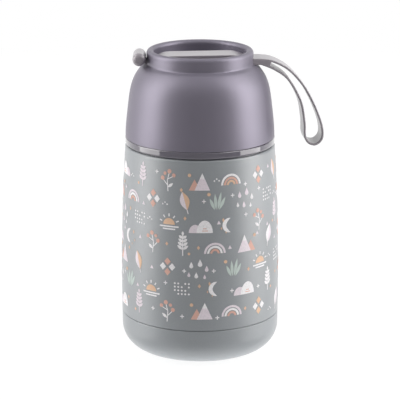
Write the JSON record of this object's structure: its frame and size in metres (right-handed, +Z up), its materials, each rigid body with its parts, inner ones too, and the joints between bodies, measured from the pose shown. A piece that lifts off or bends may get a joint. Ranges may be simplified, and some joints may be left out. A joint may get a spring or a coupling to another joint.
{
  "type": "insulated food jar",
  "caption": "Round double-walled food jar with a bulging painted body, a threaded collar, a screw-in stopper with a release button and a screw-on cup with a folded carrying strap.",
  "frame": {"origin": "centre of the underside of the base pad, on the table", "axes": "+Z up along the jar's axis, +X towards the free end of the strap, -X towards the toggle"},
  "size_m": [0.1174, 0.092, 0.178],
  "materials": {
    "green_paint": "satin",
    "stainless_steel": "satin",
    "getter_alloy": "matte",
    "solder_glass": "gloss",
    "base_rubber": "matte",
    "glossy_ring": "gloss",
    "clear_silicone": "satin",
    "stopper_plastic": "satin",
    "button_plastic": "satin",
    "foam": "matte",
    "spring_steel": "polished",
    "cup_paint": "satin",
    "cup_plastic": "satin",
    "strap_silicone": "satin"
  },
  "bodies": {
    "vessel": {"outer_shell": "green_paint", "inner_liner": "stainless_steel", "bottom_plate": "stainless_steel", "vacuum_seal": "solder_glass", "getter": "getter_alloy", "base_cup": "green_paint", "base_pad": "base_rubber", "collar": "glossy_ring"},
    "stopper_seal": {"stopper_gasket": "clear_silicone"},
    "stopper": {"stopper_plug": "stopper_plastic", "stopper_cover": "stopper_plastic", "stopper_foam": "foam", "vent_spring": "spring_steel"},
    "vent": {"vent_button": "button_plastic", "vent_stem": "stopper_plastic", "vent_seal": "clear_silicone", "vent_nut": "stopper_plastic"},
    "cup_seal": {"cup_gasket": "clear_silicone"},
    "cup": {"cup_shell": "cup_paint", "cup_liner": "cup_plastic", "strap_anchor": "strap_silicone"},
    "strap": {"strap_loop": "strap_silicone"}
  },
  "joints": [
    {"name": "stopper_lift", "type": "slide", "parent": "vessel", "child": "stopper_seal", "axis": [0, 0, 1], "range_m": [0, 0.0481]},
    {"name": "stopper_turn", "type": "hinge", "parent": "stopper_seal", "child": "stopper", "pos_m": [0, 0, 0.131], "axis": [0, 0, 1], "range_deg": [0, 1080]},
    {"name": "cup_lift", "type": "slide", "parent": "stopper", "child": "cup_seal", "axis": [0, 0, 1], "range_m": [0, 0.0801]},
    {"name": "cup_turn", "type": "hinge", "parent": "cup_seal", "child": "cup", "pos_m": [0, 0, 0.133], "axis": [0, 0, 1], "range_deg": [0, 1800]},
    {"name": "strap_swing", "type": "hinge", "parent": "cup", "child": "strap", "pos_m": [0.0346, 0, 0.1712], "axis": [0, -1, 0], "range_deg": [-15, 90], "stiffness_Nm_per_rad": 0.01, "springref_deg": 4.01},
    {"name": "vent_press", "type": "slide", "parent": "stopper", "child": "vent", "axis": [0, 0, -1], "range_m": [0, 0.0015], "stiffness_N_per_m": 400, "springref_m": -0.001, "deforming": ["vent_spring"]}
  ],
  "couplings": [
    {"joint": "stopper_lift", "follows": "stopper_turn", "m_per_rad": 0.0025465},
    {"joint": "cup_lift", "follows": "cup_turn", "m_per_rad": 0.0025465}
  ]
}
